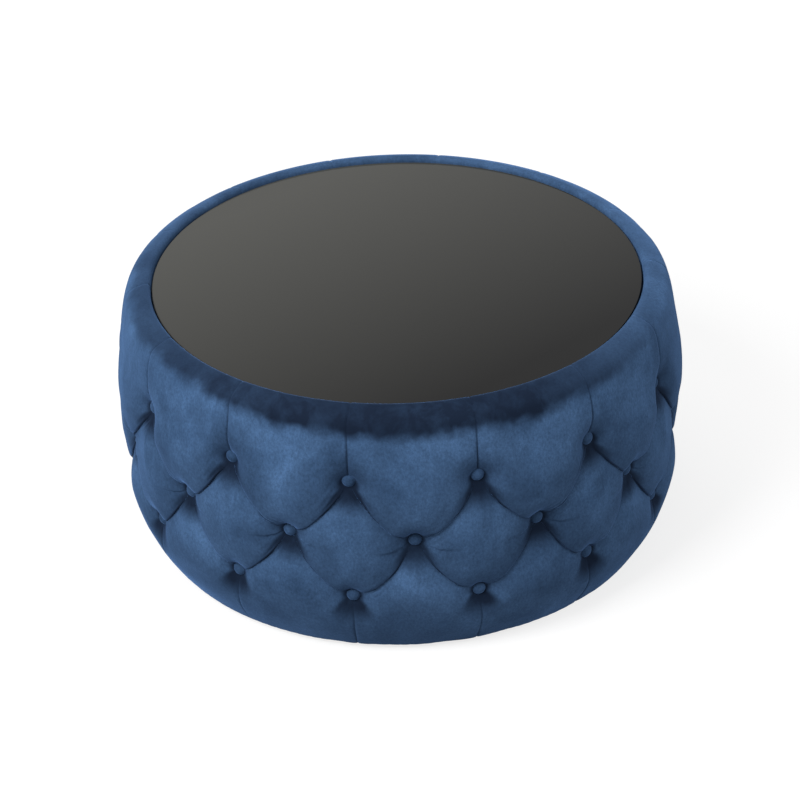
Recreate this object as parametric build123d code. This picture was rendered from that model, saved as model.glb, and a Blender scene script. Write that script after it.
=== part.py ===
from build123d import *

import os
from math import asin, cos, hypot, radians, sin, sqrt

# Round tufted ottoman coffee table: a glass plate lies in the padded rim of a deep-buttoned velvet drum.
# Under the velvet are tufted foam, a bent hardboard wall, posts, a base disc and a top disc.
# Millimetres, +Z up. The origin is on the floor, below the centre. The front faces -Y.

# Overall size
overall_diameter = 762.0
overall_height = 368.3

# Tufting pattern
tuft_columns = 14
row_spacing = 86.5
middle_row_height = 185.5
tuft_bulge = 14.0
crease_gap = 2.4

# Velvet cover and the padded shape under it, as depths inwards from the overall size
velvet_thickness = 1.5
padding_clearance = 0.3
padding_depth = 43.0
hem_inset = 40.0
lower_row_inset = 18.5
belly_height = 215.0
rim_width = 55.0
rim_crest_inset = 43.0
rim_roll_radius = 24.0
shoulder_lean = 10.0
bottom_tab_width = 24.0
recess_tab_width = 22.0
velvet_hem_gap = 2.5
stuffing_hem_gap = 18.0
stuffing_rim_gap = 34.0

# Glass and its bumpers
glass_thickness = 5.0
glass_edge_bevel = 0.8
glass_side_gap = 2.0
glass_below_rim = 6.3
bumper_count = 6
bumper_diameter = 20.0
bumper_height = 5.0
bumper_inset = 79.0
bumper_edge_round = 1.5

# Timber frame
base_board_thickness = 15.0
top_board_thickness = 12.0
wall_panel_thickness = 3.0
post_count = 7
post_width = 30.0
post_depth = 20.0
rail_width = 60.0
rail_thickness = 15.0
rail_end_gap = 35.0
lap_clearance = 0.2
centre_post_width = 60.0

# Buttons and what holds them
button_diameter = 17.0
button_dome_height = 6.0
button_rim_height = 1.6
button_seat_depth = 22.5
button_side_gap = 0.6
pocket_depth = 8.0
back_plate_diameter = 14.0
back_plate_thickness = 1.2
back_plate_clearance = 0.1
shank_diameter = 3.0
shank_length = 5.0
cord_diameter = 2.0
cord_hole_diameter = 3.4
toggle_diameter = 5.0
toggle_length = 24.0
knot_diameter = 4.0

# Screws
screw_diameter = 4.0
screw_head_diameter = 8.0
screw_head_height = 2.4
screw_clearance = 0.1
post_screw_length = 40.0
centre_screw_length = 58.0
centre_screw_spacing = 36.0
rail_screw_length = 25.0
rail_screw_radius = 200.0
rail_screw_spacing = 36.0

# Nails and staples
nail_diameter = 1.6
nail_head_diameter = 4.0
nail_head_height = 0.6
nail_length = 14.0
nails_per_post = 4
nail_end_margin = 45.0
nail_side_offset = 8.0
staple_crown = 10.0
staple_wire = 0.9
staple_leg = 8.0
staple_clearance = 0.1
staples_per_column = 2
recess_staple_inset = 8.0
base_staple_inset = 12.0
dust_staple_inset = 2.0

# Underside
glide_height = 10.0
glide_diameter = 34.0
glide_foot_diameter = 26.0
glide_inset = 50.0
glide_count = 6
glide_screw_length = 17.0
glide_screw_pocket = 4.0
dust_cover_thickness = 0.6
dust_cover_lap = 4.0
dust_cover_clearance = 0.8

# A cutter runs past the face it cuts by this much
overrun = 2.0
FULL_TURN = 360

# Heights that follow from the sizes above
base_bottom = glide_height
base_top = base_bottom + base_board_thickness
rail_top = base_top + rail_thickness
hem_height = base_bottom - velvet_thickness
glass_top_height = overall_height - glass_below_rim
glass_bottom = glass_top_height - glass_thickness
board_top = glass_bottom - bumper_height
board_bottom = board_top - top_board_thickness
lower_row_height = middle_row_height - row_spacing
upper_row_height = middle_row_height + row_spacing

# Radii that follow from the sizes above
overall_radius = overall_diameter / 2
wall_outer_radius = overall_radius - padding_depth
board_radius = wall_outer_radius - wall_panel_thickness
recess_radius = overall_radius - rim_width
rim_crest_radius = overall_radius - rim_crest_inset
lip_radius = rim_crest_radius - recess_radius
glass_radius = recess_radius - glass_side_gap
bumper_circle_radius = glass_radius - bumper_inset
glide_circle_radius = board_radius - glide_inset
recess_tab_radius = recess_radius - recess_tab_width
bottom_tab_radius = wall_outer_radius - bottom_tab_width
dust_cover_radius = bottom_tab_radius + dust_cover_lap
button_seat_radius = overall_radius - button_seat_depth
post_centre_radius = board_radius - post_depth / 2
foam_inset = velvet_thickness + padding_clearance
pocket_inner_radius = button_diameter / 2 + button_side_gap
pocket_outer_radius = pocket_inner_radius + velvet_thickness
well_radius = pocket_outer_radius + padding_clearance

# Angles of the button columns and posts, in degrees from +X
column_angle = FULL_TURN / tuft_columns
half_column = column_angle / 2
front_angle = -90.0
middle_angles = [front_angle + k * column_angle for k in range(tuft_columns)]
outer_angles = [angle + half_column for angle in middle_angles]
rows = [(upper_row_height, outer_angles), (middle_row_height, middle_angles)]
rows.append((lower_row_height, outer_angles))
# Each post stands a quarter column from the buttons, so that no cord meets one
post_start_share = 0.25
post_angles = [
    front_angle + post_start_share * column_angle + k * FULL_TURN / post_count for k in range(post_count)
]
# The wall panels meet on the first of these posts and on the second
seam_posts = (0, 4)

# How far each scalloped crease has opened, at even steps from one row to the next
scallop_shares = [0.10, 0.24, 0.40, 0.53, 0.64, 0.74, 0.83, 0.90, 0.90]
# How much of tuft_bulge is left at the lower row, and how far up the rim's roll the velvet ends
lower_crown_share = 0.92
roll_end_share = 0.45


def tangent_arc_radius(joint, normal, end):
    """Radius of the arc that leaves joint at right angles to normal and reaches end."""
    dr, dz = joint[0] - end[0], joint[1] - end[1]
    return (dr**2 + dz**2) / (2 * (dr * normal[0] + dz * normal[1]))


def circle_centre(p, q, s):
    """Centre of the circle through three (radius, height) points."""
    (ax, ay), (bx, by), (cx, cy) = p, q, s
    d = 2 * (ax * (by - cy) + bx * (cy - ay) + cx * (ay - by))
    a2, b2, c2 = ax**2 + ay**2, bx**2 + by**2, cx**2 + cy**2
    ux = (a2 * (by - cy) + b2 * (cy - ay) + c2 * (ay - by)) / d
    uy = (a2 * (cx - bx) + b2 * (ax - cx) + c2 * (bx - ax)) / d
    return ux, uy


# The valley surface, in which the creases lie, has a tucked-in skirt arc, a side arc and a roll at the rim
lean = radians(shoulder_lean)
roll_centre = (rim_crest_radius, overall_height - rim_roll_radius)
shoulder = (roll_centre[0] + rim_roll_radius * cos(lean), roll_centre[1] + rim_roll_radius * sin(lean))
belly = (overall_radius - tuft_bulge, belly_height)
waist = (overall_radius - lower_row_inset, lower_row_height)
hem = (overall_radius - hem_inset, hem_height)
side_centre = circle_centre(waist, belly, shoulder)
side_arc_radius = hypot(belly[0] - side_centre[0], belly[1] - side_centre[1])
waist_normal = [(w - c) / side_arc_radius for w, c in zip(waist, side_centre)]
skirt_arc_radius = tangent_arc_radius(waist, waist_normal, hem)
skirt_centre = [w - skirt_arc_radius * n for w, n in zip(waist, waist_normal)]


roll_end = lean + roll_end_share * (radians(90) - lean)
roll_end_height = roll_centre[1] + rim_roll_radius * sin(roll_end)


def side_radius(height, inset=0.0):
    """Radius of the valley surface at a height on the side or roll, moved inwards by inset."""
    centre, radius = (side_centre, side_arc_radius)
    if height < lower_row_height:
        centre, radius = (skirt_centre, skirt_arc_radius)
    elif height > shoulder[1]:
        centre, radius = (roll_centre, rim_roll_radius)
    return centre[0] + sqrt((radius - inset) ** 2 - (height - centre[1]) ** 2)


def at(radius, height, angle):
    """Point in space from its radius, height and angle in degrees."""
    return Vector(radius * cos(radians(angle)), radius * sin(radians(angle)), height)


def row_heights(low, high):
    """Heights at even steps from one row of buttons to the next, one for each scallop share."""
    steps = len(scallop_shares) - 1
    return [low + (high - low) * k / steps for k in range(steps + 1)]


def core_arcs(inset, bottom):
    """The four arcs of the valley surface, moved inwards: skirt, side, roll and the lip into the recess."""
    low = (side_radius(bottom, inset), bottom)
    skirt_height = (bottom + lower_row_height) / 2
    joint = [w - inset * n for w, n in zip(waist, waist_normal)]
    roll = rim_roll_radius - inset
    corner = (roll_centre[0] + roll * cos(lean), roll_centre[1] + roll * sin(lean))
    crest = (rim_crest_radius, overall_height - inset)
    roll_middle = (radians(90) + lean) / 2
    roll_point = (roll_centre[0] + roll * cos(roll_middle), roll_centre[1] + roll * sin(roll_middle))
    lip = lip_radius - inset
    lip_centre_height = overall_height - lip_radius
    lip_point = (rim_crest_radius - lip * sin(radians(45)), lip_centre_height + lip * cos(radians(45)))
    lip_end = (rim_crest_radius - lip, lip_centre_height)
    arcs = [
        Edge.make_three_point_arc(low, (side_radius(skirt_height, inset), skirt_height), joint),
        Edge.make_three_point_arc(joint, (side_radius(belly_height, inset), belly_height), corner),
        Edge.make_three_point_arc(corner, roll_point, crest),
        Edge.make_three_point_arc(crest, lip_point, lip_end),
    ]
    return low, arcs, lip_end


def crown_arcs(inset):
    """The arcs over the panels' crowns, moved inwards: skirt, lower side, upper side and roll."""
    lift = padding_clearance + velvet_thickness - inset
    low = [h + lift * (h - c) / skirt_arc_radius for h, c in zip(hem, skirt_centre)]
    lower = [w + (lower_crown_share * tuft_bulge - inset) * n for w, n in zip(waist, waist_normal)]
    widest = (overall_radius - inset, belly_height)
    roll = rim_roll_radius + lift
    corner, roll_point, end = [
        (roll_centre[0] + roll * cos(turn), roll_centre[1] + roll * sin(turn))
        for turn in (lean, (lean + roll_end) / 2, roll_end)
    ]
    lower_side = Edge.make_tangent_arc(widest, (0, -1), lower)
    arcs = [
        Edge.make_tangent_arc(lower, lower_side % 1, low),
        lower_side,
        Edge.make_tangent_arc(widest, (0, 1), corner),
        Edge.make_three_point_arc(corner, roll_point, end),
    ]
    return low, arcs, end


def path(corners):
    """Straight edges from corner to corner."""
    return [Edge.make_line(start, end) for start, end in zip(corners, corners[1:])]


def panel_block(heights, width_shares, side_gap):
    """Straight block along +X with a panel's scalloped outline, to cut one panel from its ring."""
    right = [
        (side_radius(min(height, roll_end_height)) * sin(radians(share * half_column)) - side_gap, height)
        for height, share in zip(heights, width_shares)
    ]
    left = [(-across, height) for across, height in reversed(right)]
    corners = [Vector(board_radius, across, height) for across, height in right + left]
    face = Face(Wire(path(corners + corners[:1])))
    return Solid.extrude(face, Vector(overall_radius + overrun - board_radius, 0, 0))


def turned(edges):
    """Solid of revolution about the centre line, from a closed outline in (radius, height)."""
    return Solid.revolve(Plane.XZ * Face(Wire(edges)), FULL_TURN, Axis.Z)


def disc(radius, bottom, top, x=0.0, y=0.0):
    """Upright cylinder between two heights."""
    return Pos(x, y, bottom) * Cylinder(radius, top - bottom, align=(Align.CENTER, Align.CENTER, Align.MIN))


def peg(radius, near, far, height, angle, shift=0.0):
    """Cylinder along a radial line, from one distance to another, shifted sideways."""
    start = at(near, height, angle) + at(shift, 0, angle + 90)
    plane = Plane(origin=start, z_dir=at(1, 0, angle), x_dir=(0, 0, 1))
    return plane * Cylinder(radius, far - near, align=(Align.CENTER, Align.CENTER, Align.MIN))


def block(size_x, size_y, bottom, top, x=0.0, y=0.0):
    """Upright box between two heights."""
    return Pos(x, y, bottom) * Box(size_x, size_y, top - bottom, align=(Align.CENTER, Align.CENTER, Align.MIN))


def around(shape, angles):
    """Copies of a shape, made at angle 0, turned to each of the angles."""
    return [shape.rotate(Axis.Z, angle) for angle in angles]


def ring_spots(radius, count, start=0.0):
    """Places spaced evenly on a circle, as (x, y)."""
    spots = [at(radius, 0, start + k * FULL_TURN / count) for k in range(count)]
    return [(spot.X, spot.Y) for spot in spots]


def at_buttons(make):
    """One made shape for each button of the three rows, made at angle 0 and turned to its column."""
    return [piece for height, angles in rows for piece in around(make(height), angles)]


def screw(length, head, inside, x, y):
    """Screw with a flat head, driven from its head's outer face towards a height inside the timber."""
    way = 1 if inside > head else -1
    shaft_low, shaft_high = sorted((head + way * screw_head_height, head + way * length))
    head_low, head_high = sorted((head, head + way * screw_head_height))
    shaft = disc(screw_diameter / 2, shaft_low, shaft_high, x, y)
    return disc(screw_head_diameter / 2, head_low, head_high, x, y) + shaft


def screw_hole(length, head, inside, x, y):
    """Hole that clears such a screw all round and beyond its tip."""
    way = 1 if inside > head else -1
    shaft_low, shaft_high = sorted((head, head + way * (length + screw_clearance)))
    head_low, head_high = sorted((head - way * overrun, head + way * (screw_head_height + screw_clearance)))
    shaft = disc(screw_diameter / 2 + screw_clearance, shaft_low, shaft_high, x, y)
    return disc(screw_head_diameter / 2 + screw_clearance, head_low, head_high, x, y) + shaft


def staple(outer_face, way, radius, angle, clearance=0.0):
    """Staple lying along the circle on a face, its legs driven in the given way."""
    wire = staple_wire + 2 * clearance
    crown_low, crown_high = sorted((outer_face - clearance * way, outer_face - way * staple_wire))
    leg_low, leg_high = sorted((outer_face, outer_face + way * (staple_leg + clearance)))
    leg_shift = (staple_crown - staple_wire) / 2
    crown = block(wire, staple_crown + 2 * clearance, crown_low, crown_high, radius)
    legs = [block(wire, wire, leg_low, leg_high, radius, side * leg_shift) for side in (-1, 1)]
    if clearance:
        return [leg.rotate(Axis.Z, angle) for leg in legs]
    return (crown + legs).rotate(Axis.Z, angle)


def staples(outer_face, way, radius):
    """A ring of staples, and the slots that their legs need."""
    count = staples_per_column * tuft_columns
    angles = [(k + 0.5) * FULL_TURN / count for k in range(count)]
    wires = [staple(outer_face, way, radius, angle) for angle in angles]
    slots = [slot for angle in angles for slot in staple(outer_face, way, radius, angle, staple_clearance)]
    return wires, slots


def write(name, solids):
    """Write one part, which may be a group of separate solids."""
    shape = solids[0] if len(solids) == 1 else Compound(children=list(solids))
    shape.label = name
    export_step(shape, os.path.join("parts", name + ".step"))


def largest(shape):
    """The biggest solid of a cut shape."""
    return max(shape.solids(), key=lambda solid: solid.volume)


def panel(ring, heights, width_shares, side_gap, corners):
    """One panel cut from its ring, without the wells of the buttons at its corners."""
    reach = overall_radius + overrun
    wells = [peg(well_radius, board_radius, reach, height, angle) for height, angle in corners]
    return largest((ring & panel_block(heights, width_shares, side_gap)).cut(*wells))


os.makedirs("parts", exist_ok=True)

# Rings that the tufted panels are cut from, turned so that their seam lies behind the panel
low, arcs, end = crown_arcs(0)
inner_low, inner_arcs, inner_end = crown_arcs(velvet_thickness)
velvet_ring = turned(arcs + path([end, inner_end]) + inner_arcs + path([inner_low, low])).rotate(Axis.Z, 180)
low, arcs, end = crown_arcs(velvet_thickness + padding_clearance)
under_velvet = turned(arcs + path([end, (board_radius, end[1]), (board_radius, low[1]), low]))
low, arcs, lip_end = core_arcs(-padding_clearance, hem_height)
over_cloth = turned(arcs + path([lip_end, (lip_end[0], low[1]), low]))
stuffing_ring = largest(under_velvet - over_cloth).rotate(Axis.Z, 180)

# Tufted panels: velvet and the stuffing under it, cut once for each kind and turned round the drum
opening = scallop_shares
closing = [1 - share for share in scallop_shares]
low_rows = row_heights(lower_row_height, middle_row_height)
high_rows = row_heights(middle_row_height, upper_row_height)
upper_top = [upper_row_height, shoulder[1], overall_height]
stuffing_top = [upper_row_height, shoulder[1] - stuffing_rim_gap]
skirt_middle = (hem_height + lower_row_height) / 2
skirt_rows = [hem_height + velvet_hem_gap, skirt_middle, lower_row_height]
stuffing_rows = [hem_height + stuffing_hem_gap, skirt_middle, lower_row_height]
diamond_rows, diamond_widths = low_rows + high_rows[1:], opening + closing[1:]


def full(heights):
    """Full width at each of the heights."""
    return [1.0] * len(heights)


def corner_wells(tip, sides):
    """Where a panel's buttons are: one below or above its middle, and one at each side."""
    return [(tip, 0), (sides, -half_column), (sides, half_column)]


upper_place = (corner_wells(middle_row_height, upper_row_height), middle_angles)
diamond_corners = corner_wells(lower_row_height, middle_row_height) + [(upper_row_height, 0)]
diamond_place = (diamond_corners, outer_angles)
lower_place = (corner_wells(middle_row_height, lower_row_height), middle_angles)
velvet = (velvet_ring, crease_gap / 2)
stuffing = (stuffing_ring, crease_gap / 2 + velvet_thickness)
panel_kinds = [
    ("upper_velvet_panels", velvet, high_rows + upper_top, opening + full(upper_top), upper_place),
    ("upper_panel_stuffing", stuffing, high_rows + stuffing_top, opening + full(stuffing_top), upper_place),
    ("diamond_velvet_panels", velvet, diamond_rows, diamond_widths, diamond_place),
    ("diamond_panel_stuffing", stuffing, diamond_rows, diamond_widths, diamond_place),
    ("lower_velvet_panels", velvet, skirt_rows + low_rows, full(skirt_rows) + closing, lower_place),
    ("lower_panel_stuffing", stuffing, stuffing_rows + low_rows, full(stuffing_rows) + closing, lower_place),
]
for name, (ring, side_gap), heights, widths, (corners, angles) in panel_kinds:
    write(name, around(panel(ring, heights, widths, side_gap, corners), angles))

# Ground cloth of the cover: over the side and rim, down into the recess, and under the base
low, arcs, lip_end = core_arcs(0, hem_height)
inner_low, inner_arcs, inner_lip_end = core_arcs(velvet_thickness, base_bottom)
tab_top = board_top + velvet_thickness
recess_path = [lip_end, (recess_radius, tab_top), (recess_tab_radius, tab_top), (recess_tab_radius, board_top)]
recess_path += [(inner_lip_end[0], board_top), inner_lip_end]
base_path = [inner_low, (bottom_tab_radius, base_bottom), (bottom_tab_radius, hem_height), low]
cover = turned(arcs + path(recess_path) + inner_arcs + path(base_path))
wells = at_buttons(lambda height: peg(well_radius, board_radius, overall_radius, height, 0))
recess_staples, recess_slots = staples(tab_top, -1, recess_tab_radius + recess_staple_inset)
base_staples, base_slots = staples(hem_height, 1, bottom_tab_radius + base_staple_inset)
write("cover_ground_cloth", [cover.cut(*wells, *recess_slots, *base_slots)])

# Foam: the side block round the wall and the roll on the top board
foam_low, foam_arcs, foam_lip_end = core_arcs(foam_inset, base_bottom)
foam_path = [foam_lip_end, (foam_lip_end[0], board_top), (wall_outer_radius, board_top)]
foam_path += [(wall_outer_radius, base_bottom), foam_low]
foam = turned(foam_arcs + path(foam_path))
pocket_floor = button_seat_radius - velvet_thickness
foam_cutters = at_buttons(
    lambda height: peg(well_radius, pocket_floor - padding_clearance, overall_radius, height, 0)
    + peg(cord_hole_diameter / 2, board_radius, pocket_floor, height, 0)
)
side_foam = foam - disc(overall_radius, board_top, overall_height + overrun)
write("side_foam", [side_foam.cut(*foam_cutters)])
write("rim_roll_foam", [foam - disc(overall_radius, base_bottom - overrun, board_top)])

# Buttons: velvet pockets, domed caps, their back plates, cords, toggles and knots
wide, narrow = pocket_outer_radius, pocket_inner_radius


def button_pocket(height):
    """Velvet cup under a button, with a hole for the button's shank."""
    cup = peg(wide, pocket_floor, button_seat_radius + pocket_depth, height, 0)
    cup -= peg(narrow, button_seat_radius, overall_radius, height, 0)
    return cup - peg(cord_hole_diameter / 2, board_radius, overall_radius, height, 0)


def button_cap(height):
    """Domed cap with a recess in its back for the back plate."""
    edge, plate_space = button_diameter / 2, back_plate_diameter / 2 + back_plate_clearance
    crown, rim = (0, button_dome_height), (edge, button_rim_height)
    dome_rise = button_dome_height - button_rim_height
    dome_radius = (edge**2 + dome_rise**2) / (2 * dome_rise)
    half_sweep = asin(edge / dome_radius) / 2
    dome_mid = (dome_radius * sin(half_sweep), crown[1] - dome_radius * (1 - cos(half_sweep)))
    outline = [crown, (0, back_plate_thickness), (plate_space, back_plate_thickness), (plate_space, 0)]
    outline += [(edge, 0), rim]
    cap = turned([Edge.make_three_point_arc(rim, dome_mid, crown)] + path(outline))
    return Plane(origin=at(button_seat_radius, height, 0), z_dir=(1, 0, 0), x_dir=(0, 0, 1)) * cap


def button_back(height):
    """Back plate with the shank that the cord is tied to."""
    plate_face = button_seat_radius + back_plate_thickness
    plate = peg(back_plate_diameter / 2, button_seat_radius, plate_face, height, 0)
    return plate + peg(shank_diameter / 2, button_seat_radius - shank_length, button_seat_radius, height, 0)


toggle_centre = board_radius - toggle_diameter / 2
knot_centre = toggle_centre - toggle_diameter / 2 - knot_diameter / 2


def tuft_cord(height):
    """Cord from a button's shank through foam, wall and toggle to its knot."""
    cord = peg(cord_diameter / 2, knot_centre, button_seat_radius - shank_length, height, 0)
    return cord + Pos(knot_centre, 0, height) * Sphere(knot_diameter / 2)


def cord_toggle(height):
    """Upright bar behind the wall, with a cross hole for the cord."""
    bar = disc(toggle_diameter / 2, height - toggle_length / 2, height + toggle_length / 2, toggle_centre)
    return bar - peg(cord_diameter / 2, knot_centre, board_radius, height, 0)


write("button_pockets", at_buttons(button_pocket))
for row_name, (row_height, row_angles) in zip(("upper", "middle", "lower"), rows):
    write(row_name + "_buttons", around(button_cap(row_height), row_angles))
write("button_backs", at_buttons(button_back))
write("tuft_cords", at_buttons(tuft_cord))
write("cord_toggles", at_buttons(cord_toggle))

# Bent hardboard wall in two panels, which meet on posts, and its nails
nail_step = (board_bottom - base_top - 2 * nail_end_margin) / (nails_per_post - 1)
nail_places = [
    (base_top + nail_end_margin + k * nail_step, nail_side_offset * (-1) ** k) for k in range(nails_per_post)
]
# A nail's flat head lies just under the curved wall's outer face
nail_face = sqrt(wall_outer_radius**2 - (nail_side_offset + nail_head_diameter / 2) ** 2) - screw_clearance
head_depth = nail_face - nail_head_height


def nails_at(angle, clearance=0.0):
    """The nails of one post, or the holes they need."""
    shaft, head = nail_diameter / 2 + clearance, nail_head_diameter / 2 + clearance
    tip = nail_face - nail_length - clearance
    end = wall_outer_radius + overrun if clearance else nail_face
    return [
        peg(shaft, tip, head_depth, height, angle, shift)
        + peg(head, head_depth - clearance, end, height, angle, shift)
        for height, shift in nail_places
    ]


nail_holes = [hole for angle in post_angles for hole in nails_at(angle, screw_clearance)]
cord_holes = at_buttons(
    lambda height: peg(cord_hole_diameter / 2, board_radius - overrun, wall_outer_radius + overrun, height, 0)
)
seam_angles = [post_angles[post] for post in seam_posts]
wall_spans = [
    ("wall_panel_right", seam_angles[0], seam_angles[1] - seam_angles[0]),
    ("wall_panel_left", seam_angles[1], FULL_TURN + seam_angles[0] - seam_angles[1]),
]
wall_outline = [(board_radius, base_bottom), (wall_outer_radius, base_bottom), (wall_outer_radius, board_top)]
wall_outline += [(board_radius, board_top), (board_radius, base_bottom)]
for wall_name, start, span in wall_spans:
    wall = Solid.revolve(Plane.XZ * Face(Wire(path(wall_outline))), span, Axis.Z).rotate(Axis.Z, start)
    write(wall_name, [wall.cut(*nail_holes, *cord_holes)])
write("wall_panel_nails", [nail for angle in post_angles for nail in nails_at(angle)])

# Posts, boards, crossed rails and the centre post, with their screws
post_centres = [at(post_centre_radius, 0, angle) for angle in post_angles]
post_spots = [(centre.X, centre.Y) for centre in post_centres]
half_spacing = centre_screw_spacing / 2
centre_spots = [(-half_spacing, 0.0), (half_spacing, 0.0)]
rail_half = rail_screw_spacing / 2
rail_spots = [(side * rail_screw_radius, shift) for side in (-1, 1) for shift in (-rail_half, rail_half)]
rail_spots += [(y, x) for x, y in rail_spots]
glide_spots = ring_spots(glide_circle_radius, glide_count, front_angle + half_column)

top_screws = [(post_screw_length, board_top, board_bottom, x, y) for x, y in post_spots]
bottom_screws = [(post_screw_length, base_bottom, base_top, x, y) for x, y in post_spots]
centre_top_screws = [(centre_screw_length, board_top, board_bottom, x, y) for x, y in centre_spots]
centre_base_screws = [(centre_screw_length, base_bottom, base_top, x, y) for x, y in centre_spots]
rail_screws = [(rail_screw_length, base_bottom, base_top, x, y) for x, y in rail_spots]
glide_screws = [(glide_screw_length, glide_screw_pocket, base_top, x, y) for x, y in glide_spots]

top_holes = [screw_hole(*place) for place in top_screws + centre_top_screws]
base_screws = bottom_screws + centre_base_screws + rail_screws
base_holes = [screw_hole(*place) for place in base_screws]
glide_holes = [screw_hole(*place) for place in glide_screws]
dust_cloth_bottom = hem_height - dust_cover_thickness
dust_staples, dust_slots = staples(dust_cloth_bottom, 1, bottom_tab_radius - dust_staple_inset)

for number, angle in enumerate(post_angles, start=1):
    bar = block(post_depth + overrun, post_width, base_top, board_bottom, post_centre_radius + overrun / 2)
    post = (bar & disc(board_radius, base_top, board_bottom)).rotate(Axis.Z, angle)
    x, y = post_spots[number - 1]
    holes = [screw_hole(post_screw_length, board_top, board_bottom, x, y)]
    holes.append(screw_hole(post_screw_length, base_bottom, base_top, x, y))
    write(f"post_{number}", [post.cut(*holes, *nails_at(angle, screw_clearance))])

base_board = disc(board_radius, base_bottom, base_top)
write("base_board", [base_board.cut(*base_holes, *glide_holes, *base_slots, *dust_slots)])
write("top_board", [disc(board_radius, board_bottom, board_top).cut(*top_holes, *recess_slots)])
rail_length = 2 * (board_radius - rail_end_gap)
lap_width = rail_width + 2 * lap_clearance
half_top = base_top + rail_thickness / 2
rail_x = block(rail_length, rail_width, base_top, rail_top) - block(lap_width, lap_width, half_top, rail_top)
rail_y = block(rail_width, rail_length, base_top, rail_top) - block(lap_width, lap_width, base_top, half_top)
write("base_rail_x", [rail_x.cut(*base_holes)])
write("base_rail_y", [rail_y.cut(*base_holes)])
centre_post = block(centre_post_width, centre_post_width, rail_top, board_bottom)
write("centre_post", [centre_post.cut(*top_holes, *base_holes)])
write("post_screws_top", [screw(*place) for place in top_screws])
write("post_screws_base", [screw(*place) for place in bottom_screws])
write("centre_post_screws_top", [screw(*place) for place in centre_top_screws])
write("centre_post_screws_base", [screw(*place) for place in centre_base_screws])
write("rail_screws", [screw(*place) for place in rail_screws])

# Underside: dust cover, glides, their screws and staples
glide_space = glide_diameter / 2 + dust_cover_clearance
dust_holes = [disc(glide_space, dust_cloth_bottom - overrun, base_bottom, x, y) for x, y in glide_spots]
dust_cover = disc(dust_cover_radius, dust_cloth_bottom, hem_height)
write("dust_cover", [dust_cover.cut(*dust_holes, *dust_slots)])
write("cover_staples_recess", recess_staples)
write("cover_staples_base", base_staples)
write("dust_cover_staples", dust_staples)
for number, (x, y) in enumerate(glide_spots, start=1):
    foot = Pos(x, y, 0) * Solid.make_cone(glide_foot_diameter / 2, glide_diameter / 2, glide_height)
    pocket = disc(screw_head_diameter / 2 + screw_clearance, -overrun, glide_screw_pocket, x, y)
    hole = screw_hole(glide_screw_length, glide_screw_pocket, base_top, x, y)
    write(f"floor_glide_{number}", [foot.cut(pocket, hole)])
write("glide_screws", [screw(*place) for place in glide_screws])

# Glass plate with ground edges, resting on soft bumpers
glass = disc(glass_radius, glass_bottom, glass_top_height)
write("glass_top", [glass.chamfer(glass_edge_bevel, None, glass.edges())])
bumper = fillet(disc(bumper_diameter / 2, board_top, glass_bottom).edges(), bumper_edge_round)
for number, (x, y) in enumerate(ring_spots(bumper_circle_radius, bumper_count, front_angle), start=1):
    write(f"glass_bumper_{number}", [Pos(x, y, 0) * bumper])
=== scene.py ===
# %% [markdown]
# # A round tufted ottoman with a glass top
# The real object is a padded drum in blue velvet. Rows of covered buttons pull the padding in, and the
# cloth between them swells into scalloped pillows. A dark glass plate lies in the padded rim.
# The CAD model gives every piece its place. Here the velvet becomes one fine mesh over the padding, and
# every other piece gets its finish.

import random
from math import cos, pi, radians, sin

import bmesh
import bpy
import numpy as np
from mathutils import Matrix, Vector, noise


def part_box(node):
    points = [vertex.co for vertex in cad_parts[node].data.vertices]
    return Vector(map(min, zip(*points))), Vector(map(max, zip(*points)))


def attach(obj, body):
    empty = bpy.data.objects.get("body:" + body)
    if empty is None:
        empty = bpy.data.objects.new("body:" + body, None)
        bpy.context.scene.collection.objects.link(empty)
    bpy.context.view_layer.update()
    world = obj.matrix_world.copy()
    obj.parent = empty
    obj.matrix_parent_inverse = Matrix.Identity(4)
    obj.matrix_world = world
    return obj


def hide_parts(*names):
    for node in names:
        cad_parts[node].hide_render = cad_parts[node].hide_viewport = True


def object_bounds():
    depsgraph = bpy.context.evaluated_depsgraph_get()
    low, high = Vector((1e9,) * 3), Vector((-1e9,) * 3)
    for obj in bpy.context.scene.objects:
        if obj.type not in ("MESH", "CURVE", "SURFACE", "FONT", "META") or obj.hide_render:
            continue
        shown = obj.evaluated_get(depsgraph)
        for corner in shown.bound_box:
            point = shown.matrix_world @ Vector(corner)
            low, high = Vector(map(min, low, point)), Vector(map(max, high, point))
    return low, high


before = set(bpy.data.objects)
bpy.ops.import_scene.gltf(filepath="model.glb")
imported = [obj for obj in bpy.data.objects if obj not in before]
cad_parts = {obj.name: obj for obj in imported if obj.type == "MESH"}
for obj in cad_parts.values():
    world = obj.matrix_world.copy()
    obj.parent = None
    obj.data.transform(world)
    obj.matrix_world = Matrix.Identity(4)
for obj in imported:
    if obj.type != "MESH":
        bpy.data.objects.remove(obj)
cad_low, cad_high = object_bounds()
print("CAD box", tuple(cad_low), tuple(cad_high))

# %% [markdown]
# ## The camera
# The drum was pictured from about four metres away and from well above its top, with a long lens. A camera
# aimed by hand seldom fits both the rim of the glass and the buttons, so this one is set by numbers that
# were worked out from them: a distance, an elevation and three small turns. The lens is given by its focal
# length in pixels of the 800-pixel picture, which Blender wants in millimetres of the sensor. A lens shift
# then moves the picture sideways without tilting anything.

# %% Work out where the camera stands
CAMERA_DISTANCE = 4.005
CAMERA_ELEVATION = radians(31.76)
CAMERA_TURN = radians(-2.09)
PAN, TILT, ROLL = radians(0.48), radians(0.04), radians(1.74)
AIM_HEIGHT = 0.184


def turned(vector, axis, angle):
    """The vector turned about an axis."""
    return Matrix.Rotation(angle, 3, axis) @ vector


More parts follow.
